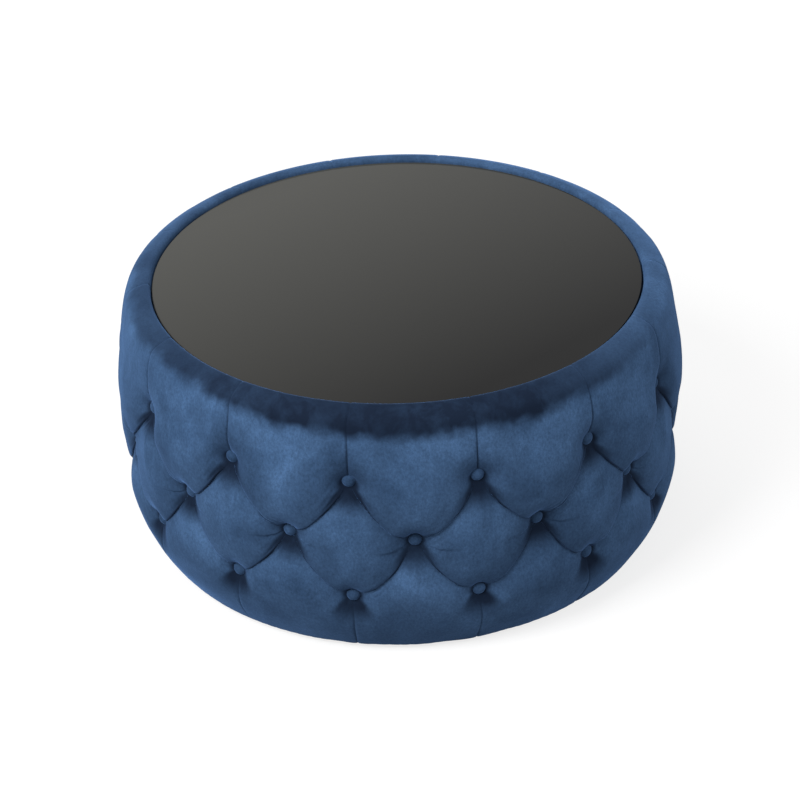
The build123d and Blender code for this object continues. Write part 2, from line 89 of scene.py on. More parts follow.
ahead = Vector((0, cos(CAMERA_ELEVATION), -sin(CAMERA_ELEVATION)))
stand = -ahead * CAMERA_DISTANCE + Vector((0, 0, AIM_HEIGHT))
right = Vector((1, 0, 0))
up = right.cross(ahead)
ahead, right = turned(ahead, up, PAN), turned(right, up, PAN)
ahead, up = turned(ahead, right, TILT), turned(up, right, TILT)
right, up = turned(right, ahead, ROLL), turned(up, ahead, ROLL)
facing = Matrix((right, up, -ahead)).transposed()
swing = Matrix.Rotation(CAMERA_TURN, 3, "Z")
print("camera at", tuple(swing @ stand))

# %% Place the camera
IMAGE_SIZE = 800
FOCAL_PIXELS = 2954.0
CENTRE_PIXEL = (375.2, 388.2)
SENSOR_WIDTH = 36.0
CLIP_END = 50.0
camera_data = bpy.data.cameras.new("camera")
camera_data.sensor_width = SENSOR_WIDTH
camera_data.lens = FOCAL_PIXELS / IMAGE_SIZE * SENSOR_WIDTH
camera_data.shift_x = (IMAGE_SIZE / 2 - CENTRE_PIXEL[0]) / IMAGE_SIZE
camera_data.shift_y = (CENTRE_PIXEL[1] - IMAGE_SIZE / 2) / IMAGE_SIZE
camera_data.clip_end = CLIP_END
camera = bpy.data.objects.new("camera", camera_data)
camera.matrix_world = Matrix.Translation(swing @ stand) @ (swing @ facing).to_4x4()
bpy.context.scene.collection.objects.link(camera)
bpy.context.scene.camera = camera
print("lens", round(camera_data.lens, 1), "shift", camera_data.shift_x, camera_data.shift_y)

# %% [markdown]
# ## Helpers for node trees
# A world, a floor and a velvet are all trees of nodes. Nodes can be placed by hand in the editor, but code
# that builds them can be read and run again. The same few steps come back in every tree, so each is a
# function: add a node with some values, feed it, and bring a value into a range.

# %% Helpers for node trees
WHITE = (1, 1, 1, 1)


def add_node(tree, kind, **values):
    """A node with some settings or inputs given; an underscore stands for the space in an input's name."""
    node = tree.nodes.new(kind)
    for key, value in values.items():
        if hasattr(node, key):
            setattr(node, key, value)
        else:
            node.inputs[key.replace("_", " ")].default_value = value
    return node


def fed_node(tree, kind, *sources, **values):
    """A node whose first inputs are fed by the sources, in order."""
    node = add_node(tree, kind, **values)
    for source, socket in zip(sources, node.inputs):
        tree.links.new(source, socket)
    return node


def scaled(tree, source, low, high, to_low=0.0, to_high=1.0):
    """A value brought from one range to another, and held there."""
    ranges = {"From_Min": low, "From_Max": high, "To_Min": to_low, "To_Max": to_high}
    return fed_node(tree, "ShaderNodeMapRange", source, **ranges).outputs["Result"]


def empty_tree(owner):
    """The node tree of a world or a material, cleared."""
    owner.use_nodes = True
    owner.node_tree.nodes.clear()
    return owner.node_tree


print("helpers: a node, a fed node, a scaled value and an empty tree")

# %% [markdown]
# ## Light
# The picture is a studio one: soft light from the upper left, a white ground and a faint shadow. An even
# white world alone would leave the pillows flat, and one hard lamp would blacken the folds. So a dim world
# fills every fold, a broad key lamp gives the direction, and two weak lamps lift the back and the right.
# What the camera or a reflection sees of the world is plain white, but it lights the object dimly.

# %% Set the world
WORLD_STRENGTH = 0.42
scene = bpy.context.scene
scene.view_settings.view_transform = "Standard"
world = bpy.data.worlds.new("studio")
scene.world = world
tree = empty_tree(world)
rays = add_node(tree, "ShaderNodeLightPath").outputs
seen = fed_node(tree, "ShaderNodeMath", rays["Is Camera Ray"], rays["Is Glossy Ray"], operation="MAXIMUM")
seen = fed_node(tree, "ShaderNodeMath", seen.outputs[0], rays["Is Transmission Ray"], operation="MAXIMUM")
dim = add_node(tree, "ShaderNodeBackground", Color=WHITE, Strength=WORLD_STRENGTH)
bright = add_node(tree, "ShaderNodeBackground", Color=WHITE, Strength=1.0)
sky = fed_node(tree, "ShaderNodeMixShader", seen.outputs[0], dim.outputs[0], bright.outputs[0])
fed_node(tree, "ShaderNodeOutputWorld", sky.outputs[0])
print("world strength", WORLD_STRENGTH)

# %% Hang the lamps
# Each lamp's name, place, height that it aims at, width in metres, and power in watts
LAMPS = [
    ("key_lamp", (-2.1, -1.9, 2.9), 0.2, 1.8, 150.0),
    ("top_lamp", (-0.6, 0.9, 3.0), 0.3, 2.0, 20.0),
    ("fill_lamp", (2.6, -1.2, 1.6), 0.2, 1.6, 26.0),
]
for name, place, aim_height, width, power in LAMPS:
    lamp_data = bpy.data.lights.new(name, "AREA")
    lamp_data.size = width
    lamp_data.energy = power
    lamp = bpy.data.objects.new(name, lamp_data)
    lamp.location = place
    aim = Vector((0, 0, aim_height)) - Vector(place)
    lamp.rotation_euler = aim.to_track_quat("-Z", "Y").to_euler()
    scene.collection.objects.link(lamp)
    print(name, width, "m wide,", power, "W")

# %% [markdown]
# ## The floor
# The drum stands on a white ground that has no edge. A white floor under these lamps would grey at its far
# end, and a brighter lamp would bleach the velvet. So the floor's paper is grey, and the camera alone sees
# a white glow added to it: weak enough near the drum to keep its shadow, and full further away.

# %% Lay the floor
FLOOR_HALF = 6.0
floor_mesh = bpy.data.meshes.new("floor")
corners = [(-FLOOR_HALF, -FLOOR_HALF, 0), (FLOOR_HALF, -FLOOR_HALF, 0)]
corners += [(FLOOR_HALF, FLOOR_HALF, 0), (-FLOOR_HALF, FLOOR_HALF, 0)]
floor_mesh.from_pydata(corners, [], [(0, 1, 2, 3)])
floor = bpy.data.objects.new("floor", floor_mesh)
scene.collection.objects.link(floor)
print("floor", 2 * FLOOR_HALF, "m wide")

# %% Make the floor glow for the camera
FLOOR_GREY = (0.27, 0.27, 0.27, 1)
NEAR_GLOW, FAR_GLOW = 0.76, 1.0
GLOW_START, GLOW_END = 1.0, 3.0
floor_look = bpy.data.materials.new("white_floor")
tree = empty_tree(floor_look)
paper = add_node(tree, "ShaderNodeBsdfDiffuse", Color=FLOOR_GREY)
spot = add_node(tree, "ShaderNodeNewGeometry").outputs["Position"]
from_centre = fed_node(tree, "ShaderNodeVectorMath", spot, operation="LENGTH").outputs["Value"]
glow = scaled(tree, from_centre, GLOW_START, GLOW_END, NEAR_GLOW, FAR_GLOW)
camera_ray = add_node(tree, "ShaderNodeLightPath").outputs["Is Camera Ray"]
glow = fed_node(tree, "ShaderNodeMath", camera_ray, glow, operation="MULTIPLY").outputs[0]
lift = add_node(tree, "ShaderNodeEmission", Color=WHITE)
tree.links.new(glow, lift.inputs["Strength"])
total = fed_node(tree, "ShaderNodeAddShader", paper.outputs[0], lift.outputs[0])
fed_node(tree, "ShaderNodeOutputMaterial", total.outputs[0])
floor_mesh.materials.append(floor_look)
print("glow from", NEAR_GLOW, "at", GLOW_START, "m to", FAR_GLOW, "at", GLOW_END, "m")

# %% [markdown]
# ## The crown line
# Cut through the middle of a column of pillows, the drum has one smooth line: a hem tucked under, a full
# side, a soft shoulder, and a rim that rolls over into the recess of the glass. A lathe shape from a few
# arcs would look turned rather than stuffed, so the line is drawn by points, as depths in from the widest
# radius and heights, with a smooth curve through them. The same line, sunk a little, holds the creases.

# %% Read the main sizes from the frame
MM = 0.001
COLUMNS = 14
GLASS_GAP = 2.0
BUTTON_DOME = 6.0
KINDS = ("upper", "middle", "lower")
outer_radius = (cad_high.x - cad_low.x) / 2 / MM
total_height = cad_high.z / MM
recess_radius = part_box("glass_top")[1].y / MM + GLASS_GAP
seat_radius = -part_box("middle_buttons")[0].y / MM - BUTTON_DOME


def middle_height(node):
    """Height of the middle of a node, in millimetres."""
    low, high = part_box(node)
    return (low.z + high.z) / 2 / MM


row_heights = [middle_height(kind + "_buttons") for kind in KINDS]
print("rows", row_heights, "seat", seat_radius, "outer", outer_radius, "height", total_height)

# %% Draw the crown line
SIDE_POINTS = [
    (66.5, 7.6), (52.0, 7.2), (44.5, 6.6), (40.0, 8.0), (37.0, 12.5), (33.0, 19.0), (21.5, 40.0),
    (12.8, 65.0), (7.2, 90.0), (4.6, 140.0), (1.9, 190.0), (0.6, 225.0), (0.8, 245.0), (3.2, 265.0),
    (7.2, 285.0), (10.2, 300.0), (12.8, 315.0), (15.0, 328.0), (17.6, 340.0), (22.0, 352.5),
    (27.0, 358.6), (33.0, 362.6),
]
# The heights of the rim's points are measured from the top
RIM_POINTS = [
    (41.0, -2.1), (46.0, -0.5), (49.4, 0.0), (52.3, -0.9), (54.4, -3.6), (55.0, -8.0), (55.0, -14.4),
]
crown = [(outer_radius - inset, height) for inset, height in SIDE_POINTS]
crown += [(outer_radius - inset, total_height + drop) for inset, drop in RIM_POINTS]
print("crown drawn by", len(crown), "points")

# %% Smooth the crown line
PER_SPAN = 24


def between(first, last, start, end, at):
    """The point between two others that stand at start and end."""
    return (end - at) / (end - start) * first + (at - start) / (end - start) * last


def smooth_line(points):
    """A smooth line through the points (centripetal Catmull-Rom), finely divided."""
    points = np.array(points)
    points = np.vstack([2 * points[0] - points[1], points, 2 * points[-1] - points[-2]])
    drawn = []
    for k in range(1, len(points) - 2):
        p = points[k - 1:k + 3]
        t = np.concatenate([[0.0], np.cumsum(np.linalg.norm(np.diff(p, axis=0), axis=1) ** 0.5)])
        for at in np.linspace(t[1], t[2], PER_SPAN, endpoint=False):
            a, b, c = [between(p[j], p[j + 1], t[j], t[j + 1], at) for j in range(3)]
            early, late = between(a, b, t[0], t[2], at), between(b, c, t[1], t[3], at)
            drawn.append(between(early, late, t[1], t[2], at))
    return np.array(drawn + [points[-2]])


line = smooth_line(crown)
along = np.concatenate([[0.0], np.cumsum(np.linalg.norm(np.diff(line, axis=0), axis=1))])
way = np.gradient(line, along, axis=0)
way /= np.linalg.norm(way, axis=1)[:, None]
outward = np.stack([way[:, 1], -way[:, 0]], axis=1)
line_end = along[-1]
print("crown line", round(line_end, 1), "mm long in", len(line), "points")

# %% Find the rows on the crown line
COLUMN_INSET = 9.0


def on_line(v, values):
    """Values along the crown line, at distances v from its start."""
    return np.interp(v, along, values)


def distance_at(height):
    """Distance along the crown line at which its side reaches a height."""
    top = np.argmax(line[:, 1])
    return float(np.interp(height, line[:top, 1], along[:top]))


UPPER_ROW, MIDDLE_ROW, LOWER_ROW = [distance_at(height) for height in row_heights]
column_width = 2 * pi * (outer_radius - COLUMN_INSET) / COLUMNS
half_width = column_width / 2
# Each row's distance along the line, and the sideways place of its button in a column
ROWS = [(UPPER_ROW, half_width), (MIDDLE_ROW, 0.0), (LOWER_ROW, half_width)]
print("rows at", UPPER_ROW, MIDDLE_ROW, LOWER_ROW, "column", round(column_width, 1))

# %% [markdown]
# ## The tufting pattern
# Unrolled, the velvet is a flat sheet with a button lattice. Each crease runs from a button to the next
# one of the row above. It sags on the way, so every pillow has a rounded bottom like a fish scale.
# From the top row a pleat runs up over the rim, and from the bottom row one runs down to the hem.
# A plain square grid would cut across the creases in steps. So the grid's own lines follow them, and stand
# closer towards each crease and button, and each fold stays crisp.

# %% Shape the creases
SAG = 0.62
# Grid lines in a column, and in the sheet's three parts below, between and above the creases
COLUMN_LINES = 68
LOW_LINES, MIDDLE_LINES, HIGH_LINES = ((60, 64, 104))
# How much closer the lines stand near the buttons and the ends of each part, from 0 to 1
COLUMN_CLOSER = 0.5
LOW_CLOSER, MIDDLE_CLOSER, HIGH_CLOSER = 0.75, 0.85, 0.65


def crease_line(base, top, x):
    """Distance along the crown line of a crease that rises from a button at x = 0."""
    t = np.abs(x) / half_width
    return base + (top - base) * (t - SAG * t * (1 - t))


def spread(count, closer):
    """Numbers from 0 to 1, set closer towards the ends, as a column."""
    q = np.linspace(0, 1, count)
    return (closer * 0.5 * (1 - np.cos(pi * q)) + (1 - closer) * q)[:, None]


even_share = np.linspace(-1, 1, COLUMN_LINES, endpoint=False)
cell_line = half_width * (even_share - COLUMN_CLOSER * np.sin(2 * pi * even_share) / (2 * pi))
upper_crease = crease_line(MIDDLE_ROW, UPPER_ROW, cell_line)
lower_crease = crease_line(LOWER_ROW, MIDDLE_ROW, half_width - np.abs(cell_line))
low_part = spread(LOW_LINES, LOW_CLOSER) * lower_crease
middle_part = lower_crease + spread(MIDDLE_LINES, MIDDLE_CLOSER) * (upper_crease - lower_crease)
high_part = upper_crease + spread(HIGH_LINES, HIGH_CLOSER) * (line_end - upper_crease)
print("grid", COLUMN_LINES * COLUMNS, "by", LOW_LINES + MIDDLE_LINES + HIGH_LINES)

# %% [markdown]
# ## Distances on the sheet
# Every fold, pillow and shade below depends on how far a point is from the nearest crease, pleat or button.
# A crease is a curve, so the distance to it is taken as the shortest one to many points traced along it.

# %% Measure distances on the sheet
TRACE_POINTS = 201


def folded_x(x, centre):
    """The sideways distance to the nearest button of a row that has one at the centre."""
    return (x - centre + half_width) % column_width - half_width


trace_x = np.linspace(-2, 2, TRACE_POINTS) * half_width
trace_upper = crease_line(MIDDLE_ROW, UPPER_ROW, folded_x(trace_x, 0))
trace_lower = crease_line(LOWER_ROW, MIDDLE_ROW, folded_x(trace_x, half_width))


def nearest(x, v, trace_v, centre):
    """Distance from each point to a crease, and how far up that crease its nearest point is, from 0 to 1."""
    squares = (x[..., None] - trace_x) ** 2 + (v[..., None] - trace_v) ** 2
    place = trace_x[squares.argmin(axis=-1)]
    return np.sqrt(squares.min(axis=-1)), np.abs(folded_x(place, centre)) / half_width


def button_distances(x, v):
    """Distance to the nearest button of each row, as a list."""
    return [np.hypot(folded_x(x, centre), v - row) for row, centre in ROWS]


print("creases traced by", TRACE_POINTS, "points each")

# %% [markdown]
# ## Pillows
# A pillow hangs over the crease below it, and slopes gently out from under the crease above it. Bumps in a
# material would leave its outline smooth, and a cloth simulation rounds such tight folds away: they are
# narrower than the cells that it needs. So the pillow's swell is a rule that sinks the mesh itself, steep
# over the lower crease and gentle under the upper one.

# %% Give the pillows their sides
RISING_EASE = 0.85


def soft_step(low, high, value):
    """0 at low and 1 at high, which may be the smaller of the two, with a smooth change between them."""
    q = np.clip((value - low) / (high - low), 0, 1)
    return q * q * (3 - 2 * q)


def eased(first, last, start, end, value):
    """A number that goes smoothly from first to last, while the value goes from start to end."""
    return first + (last - first) * soft_step(start, end, value)


def hanging(distance, width):
    """A pillow's side that hangs over the crease below it: steep at the crease, like a quarter circle."""
    q = np.clip(distance / width, 0, 1)
    return np.sqrt(1 - (1 - q) ** 2)


def rising(distance, width):
    """A pillow's side that comes out from under the crease above it: a gentle slope."""
    q = np.clip(distance / width, 0, 1)
    return np.sin(q * pi / 2) ** RISING_EASE


print("halfway, a side hangs", round(float(hanging(1, 2)), 2), "or rises", round(float(rising(1, 2)), 2))

# %% Set the depth of the creases and the width of the pleats
# A change like this one has its first and last value, and then the places where it starts and ends
CREASE_FORCE = (0.62, 1.0, 0.25, 0.95)
# Depth of the creases, by height up the side, and then by distance over the rim
CREASE_DEPTHS = [
    (6, 1.6), (30, 2.4), (60, 4.0), (90, 11.0), (120, 13.5), (250, 13.5), (285, 9.0), (300, 3.4), (325, 2.2),
    (345, 1.7), (362, 1.4),
]
RIM_CREASE_DEPTHS = [(14.0, 1.2), (24.0, 0.9), (36.0, 0.5)]
HEM_CREASE_DEPTH = 1.0
# Half the width of a pleat's valley, by distance from the nearer row of buttons
PLEAT_WIDTHS = [(0, 40.0), (14, 16.0), (46, 7.0)]
PLEAT_END_WIDTH = 6.0


def read_off(table, places):
    """Values read off a table of places and values, with straight lines between them."""
    return np.interp(places, *zip(*table))


def crease_strength(t):
    """How deep a crease is, from its lower button (t = 0) to its upper one (t = 1)."""
    return eased(*CREASE_FORCE, t)


depth_table = [(0.0, HEM_CREASE_DEPTH)] + [(distance_at(height), depth) for height, depth in CREASE_DEPTHS]
crest = depth_table[-1][0]
depth_table += [(crest + beyond, depth) for beyond, depth in RIM_CREASE_DEPTHS] + [(line_end, 0.0)]
width_table = [(LOWER_ROW - beyond, width) for beyond, width in reversed(PLEAT_WIDTHS)]
width_table += [(UPPER_ROW + beyond, width) for beyond, width in PLEAT_WIDTHS]
width_table = [(0.0, PLEAT_END_WIDTH)] + width_table + [(line_end, PLEAT_END_WIDTH)]
print("deepest crease", max(depth for place, depth in depth_table), "mm")

# %% [markdown]
# ## Wells and lips
# A button is pulled tight on its cord, so the cloth dips into a round well that reaches its seat. Straight
# under a button the well is longer, like a pocket, because the pillow below has to slide out from under it.
# Along the lower crease, the stuffing pushes the cloth down over the fold as a soft lip. A well is a share
# of the way down to the seat, so it can never go past it, and a lip is a slide along the sheet.

# %% Shape the wells and lips
BUTTON_RADIUS = 8.5
WELL_WIDTH, POCKET_WIDTH = 34.0, 46.0
WELL_EASE = 2.2
SEAT_ROOM = 1.0
LIP, LIP_WIDTH, LIP_SKEW = 6.0, 30.0, 0.55
# A lip starts outside a button's seat, and is full only well away from it
LIP_START, LIP_FORCE = (8, 18), (0.45, 1.0, 16, 44)


def wells(x, v):
    """How far each point lies in a button's well, from 0 to 1, and how deep that well is."""
    inside, well_depth = np.zeros_like(v), np.full_like(v, 1.0)
    for distance, (row, _) in zip(button_distances(x, v), ROWS):
        below = np.clip((row - v) / np.maximum(distance, 1.0), 0, 1) ** 2
        width = WELL_WIDTH + (POCKET_WIDTH - WELL_WIDTH) * below
        share = (1 - np.clip((distance - BUTTON_RADIUS) / width, 0, 1)) ** WELL_EASE
        row_depth = float(on_line(row, line[:, 0])) - seat_radius - SEAT_ROOM
        well_depth = np.where(share > inside, row_depth, well_depth)
        inside = np.maximum(inside, share)
    return inside, well_depth


def lip_slide(over, near_button):
    """How far the cloth slides down over a crease, which fades near a button."""
    across = np.clip(over / LIP_WIDTH, 0, 1)
    fade = eased(*LIP_FORCE, near_button) * soft_step(*LIP_START, near_button)
    return -LIP * np.sin(pi * across**LIP_SKEW) * fade


print("wells", WELL_WIDTH, "mm wide, pockets", POCKET_WIDTH, "mm long, lips", LIP, "mm")

# %% [markdown]
# ## One column of the sheet
# The drum repeats one column, so the sums are done for a single one. It has three parts: the skirt below
# the lower creases, the diamonds between them and the upper ones, and the top pillows with the rim. Each
# part knows which crease it hangs over, which it comes out from under, and which pleat it meets.

# %% Sink the three parts of the sheet
PILLOW_OVER, PILLOW_UNDER = 46.0, 62.0
# A distance for points that no crease or pleat of that kind is near
FAR_OFF = 1e3


def sink_part(x, v, part):
    """Depth under the crown line, the slide along it, and the distances that the shade needs."""
    to_upper, upper_t = nearest(x, v, trace_upper, 0)
    to_lower, lower_t = nearest(x, v, trace_lower, half_width)
    past_row = {"high": UPPER_ROW - v, "low": v - LOWER_ROW, "middle": np.full_like(v, FAR_OFF)}[part]
    to_pleat = np.hypot(half_width - np.abs(x), np.clip(past_row, 0, None))
    pleat_side = hanging(to_pleat, read_off(width_table, v))
    if part == "high":
        swell = hanging(to_upper, PILLOW_OVER) * pleat_side
        over, to_crease, crease_t = to_upper, to_upper, upper_t
    elif part == "middle":
        swell = rising(to_upper, PILLOW_UNDER) * hanging(to_lower, PILLOW_OVER)
        over, to_crease = to_lower, np.minimum(to_upper, to_lower)
        crease_t = np.where(to_upper < to_lower, upper_t, lower_t)
    else:
        swell = rising(to_lower, PILLOW_UNDER) * pleat_side
        over, to_crease, crease_t = np.full_like(v, FAR_OFF), to_lower, lower_t
    inside, well_depth = wells(x, v)
    crease_part = read_off(depth_table, v) * crease_strength(crease_t) * (1 - swell)
    sunk = well_depth * (1 - (1 - crease_part / well_depth) * (1 - inside))
    slide = lip_slide(over, np.minimum.reduce(button_distances(x, v)))
    return sunk, slide, to_crease, crease_t, to_pleat, over


cells = []
for name, part_v in (("low", low_part), ("middle", middle_part), ("high", high_part)):
    part_x = np.broadcast_to(cell_line, part_v.shape)
    cells.append((part_x, part_v) + sink_part(part_x, part_v, name))
    print(name, "depth", round(float(cells[-1][2].min()), 2), round(float(cells[-1][2].max()), 2))
cell_x, *cell_rest = [np.vstack(columns) for columns in zip(*cells)]

# %% [markdown]
# ## Turning the pattern round the drum
# The same column repeats fourteen times, but no two real pillows are alike. Slow noise moves the creases
# and swells a little, and fades near the buttons, which are fixed. The noise is read at points on a
# cylinder rather than on the flat sheet, so it closes where the last column meets the first.

# %% Wrap the sheet round the drum
# The grain of each noise in millimetres, and where in the noise it is read
LUMP_GRAINS = [(62.0, 3.1), (24.0, 9.7), (9.0, 45.3)]
DRIFT_GRAINS = [(75.0, 21.3), (75.0, 33.9)]
# The noise fades between these distances from a button, and from the end of the crown line
NEAR_BUTTON, NEAR_GLASS = (10, 42), (34, 46)
sheet_x = np.hstack([cell_x + k * column_width for k in range(COLUMNS)])
sheet_rest = [np.tile(values, (1, COLUMNS)) for values in cell_rest]
sheet_v, sheet_depth, sheet_slide, to_crease, crease_t, to_pleat, over_crease = sheet_rest
sheet_angle = sheet_x / column_width * (2 * pi / COLUMNS) - pi / 2


def drum_noise(grain_size, seed):
    """Smooth noise over the sheet that closes round the drum."""
    radius = column_width * COLUMNS / (2 * pi)
    xs = (radius * np.cos(sheet_angle)).ravel() / grain_size + seed
    ys = (radius * np.sin(sheet_angle)).ravel() / grain_size
    zs = (sheet_v / grain_size).ravel() + seed
    spots = zip(xs.tolist(), ys.tolist(), zs.tolist())
    values = [noise.fractal(spot, 1.0, 2.0, 1, noise_basis="PERLIN_ORIGINAL") for spot in spots]
    return np.array(values).reshape(sheet_v.shape)


near_rows = button_distances(sheet_x, sheet_v)
away = soft_step(*NEAR_BUTTON, np.minimum.reduce(near_rows))
inside_rim = soft_step(*NEAR_GLASS, line_end - sheet_v)
lumps, fine_lumps, brush_lumps = [drum_noise(*grain_and_seed) for grain_and_seed in LUMP_GRAINS]
drift_x, drift_v = [drum_noise(*grain_and_seed) for grain_and_seed in DRIFT_GRAINS]
print("lumps", round(float(lumps.std()), 3), "drift", round(float(drift_v.std()), 3))

# %% [markdown]
# ## Strained cloth
# Where a button pulls, the cloth beside the fold is strained into a few short ripples. Drawn by hand they
# would be 84 strokes. So each side of each button gets a ripple that runs beside the crease, and seeded
# random draws vary its size and place: a different one each time, but the same on every run.

# %% Strain the cloth near the buttons
RIPPLE_PITCH = 7.0
RIPPLE_SIZE, RIPPLE_EASE = 1.5, 1.5
RIPPLE_REACH, RIPPLE_STRAY, RIPPLE_LENGTH = 26.0, 12.0, 12.0
RIPPLE_START, RIPPLE_FADE = 8.0, 10.0
LUMP, FINE_LUMP, DRIFT = 1.6, 0.5, 3.0
draws = random.Random(11)
ripple = np.zeros(sheet_v.shape)
girth = COLUMNS * column_width
ripple_wave = np.sin(2 * pi * to_crease / RIPPLE_PITCH) * np.exp(-to_crease / RIPPLE_FADE)
for (_, row_centre), distance in zip(ROWS, near_rows):
    for column in range(COLUMNS):
        offset = (sheet_x - row_centre - column * column_width + girth / 2) % girth - girth / 2
        for side in (-1, 1):
            size = RIPPLE_SIZE * draws.random() ** RIPPLE_EASE
            reach = RIPPLE_REACH + RIPPLE_STRAY * draws.random()
            place = np.exp(-(((distance - reach) / RIPPLE_LENGTH) ** 2)) * (np.abs(offset) < half_width)
            ripple += size * place * soft_step(0, RIPPLE_START, side * offset) * ripple_wave
sheet_depth = sheet_depth - inside_rim * (away * (LUMP * lumps + FINE_LUMP * fine_lumps) + ripple)
sheet_depth = np.maximum(sheet_depth, 0.0)
moved_v = sheet_v + inside_rim * (sheet_slide + DRIFT * away * drift_v)
moved_angle = sheet_angle + inside_rim * DRIFT * away * drift_x / outer_radius
print("ripples up to", round(float(np.abs(ripple).max()), 2), "mm")

# %% [markdown]
# ## Where shade is painted on the pile
# The folds, the pleats, the pockets under the buttons and the bottoms of the pillows lie in shade, and this
# shade is painted into the velvet's colour. Velvet shows the way its pile lies: on the rim's front it is
# brushed inwards and looks dark from the front, so a band of painted shade with a ragged edge follows the
# glass. Painting this by hand would not follow the folds, and reading it off the light would change with
# the view. So it is a value on each point of the mesh, from 0 to 1, worked out from the same distances as
# the folds.

# %% Paint shade into the folds and pleats
# Widths in millimetres of the painted shade along a crease, along a pleat, and spreading softly beside a
# crease
FOLD_LINE, PLEAT_LINE, SOFT_FOLD = 1.5, 1.1, 7.0
# How a fold's painted shade grows wider and darker on its way up to its button, and the painted shade on the
# cloth that hangs over it too
FOLD_GROWTH, FOLD_SHADE = (1.0, 2.2, 0.55, 1.0), (0.6, 1.0, 0.25, 0.7)
HUNG_REACH, HUNG_SHADE = (6.0, 2.0), (0.35, 0.9, 0.1, 0.6)
SOFT_SHADE = (0.15, 0.6, 0.3, 0.9)
# How dark the painted shade along the pleats is above the top row and below the bottom row, and where it
# fades out towards the rim
RIM_PLEAT, HEM_PLEAT, RIM_PLEAT_REACH = 0.75, 0.375, (120, 40)
fold = np.exp(-((to_crease / FOLD_LINE / eased(*FOLD_GROWTH, crease_t)) ** 2))
fold = fold * eased(*FOLD_SHADE, crease_t)
hung = soft_step(*HUNG_REACH, over_crease) * eased(*HUNG_SHADE, crease_t)
soft_fold = np.exp(-to_crease / SOFT_FOLD) * eased(*SOFT_SHADE, crease_t)
fold = np.maximum.reduce([fold, hung, soft_fold])
rim_pleat = RIM_PLEAT * soft_step(*RIM_PLEAT_REACH, sheet_v - UPPER_ROW) * (sheet_v > UPPER_ROW)
pleat = np.exp(-((to_pleat / PLEAT_LINE) ** 2)) * (rim_pleat + HEM_PLEAT * (sheet_v < LOWER_ROW))
print("pressed in folds", round(float(fold.mean()), 3), "and pleats", round(float(pleat.mean()), 3))

# %% Paint shade into the pockets
# A pocket's painted shade is a dark wedge straight under its button, with a dark ring and a faint halo round
# it
WEDGE_SIDES, WEDGE_REACH, WEDGE_BLUNT, WEDGE_EASE = (1.35, 0.6), (50, 17), 5.0, 0.8
RING_REACH = (9, 1)
HALO_SHADE, HALO_REACH, HALO_DROP = 0.45, (34, 10), (6, -14)
pocket = np.zeros(sheet_v.shape)
for distance, (row, centre) in zip(near_rows, ROWS):
    drop = row - sheet_v
    slant = np.abs(folded_x(sheet_x, centre)) / np.maximum(drop + WEDGE_BLUNT, 1.0)
    wedge = soft_step(*WEDGE_SIDES, slant) * soft_step(*WEDGE_REACH, distance) * (drop > 0)
    ring = soft_step(*RING_REACH, distance - BUTTON_RADIUS)
    halo = HALO_SHADE * soft_step(*HALO_REACH, distance) * soft_step(*HALO_DROP, drop)
    pocket = np.maximum.reduce([pocket, wedge**WEDGE_EASE, ring, halo])
print("pressed in pockets", round(float(pocket.mean()), 3))

# %% Paint shade on the rim and the bellies
# Round the drum in degrees: how far the band of painted shade reaches from the glass, and how dark it is
RIM_BAND = [
    (-180, 26, 0.62), (-150, 34, 0.78), (-120, 46, 0.95), (-90, 52, 1.0), (-65, 50, 0.97), (-45, 46, 0.7),
    (-20, 30, 0.3), (20, 14, 0.2), (90, 10, 0.25), (140, 16, 0.4), (180, 26, 0.62),
]
BAND_EDGE = 11.0
BAND_RAGGED = (6.0, 5.0, 3.5)
# The band is measured from this far short of the line's end, and the last few millimetres of the line, down
# beside the glass, get painted shadow
GLASS_ROLL, UNDER_GLASS = 14.0, (-6, -12)
# The bottom of each pillow turns away from the light, and so does the skirt: both get painted shade
BELLY_SHADE, BELLY_REACH, BELLY_END = 0.34, (74, 6), 4
SKIRT_SHADE, SKIRT_REACH = 0.30, (34, -12)
angle_degrees = (np.degrees(sheet_angle) + 180) % 360 - 180
reach = read_off([(degrees, band) for degrees, band, force in RIM_BAND], angle_degrees)
force = read_off([(degrees, force) for degrees, band, force in RIM_BAND], angle_degrees)
from_glass = line_end - GLASS_ROLL - sheet_v
ragged = from_glass + sum(size * wave for size, wave in zip(BAND_RAGGED, (lumps, fine_lumps, brush_lumps)))
rim = force * soft_step(reach + BAND_EDGE, reach - BAND_EDGE, ragged)
rim = np.maximum(rim, soft_step(*UNDER_GLASS, from_glass))
belly = BELLY_SHADE * soft_step(*BELLY_REACH, over_crease) * (sheet_v > LOWER_ROW - BELLY_END)
belly = np.maximum(belly, SKIRT_SHADE * soft_step(*SKIRT_REACH, sheet_v - LOWER_ROW))
# All the painted shade put together, from 0 to 1
painted_shade = 1 - (1 - fold) * (1 - pleat) * (1 - pocket) * (1 - rim) * (1 - belly)
print("pressed share", round(float(painted_shade.mean()), 3))

# %% [markdown]
# ## The velvet's mesh
# The real cover is sewn panels over padding. Seen from outside it is one skin from the hem over the rim into
# the recess, so one mesh of quads has no seams to gap. Its back is closed over the wall and under the
# glass, which makes it a solid ring, like the padding that it stands for.

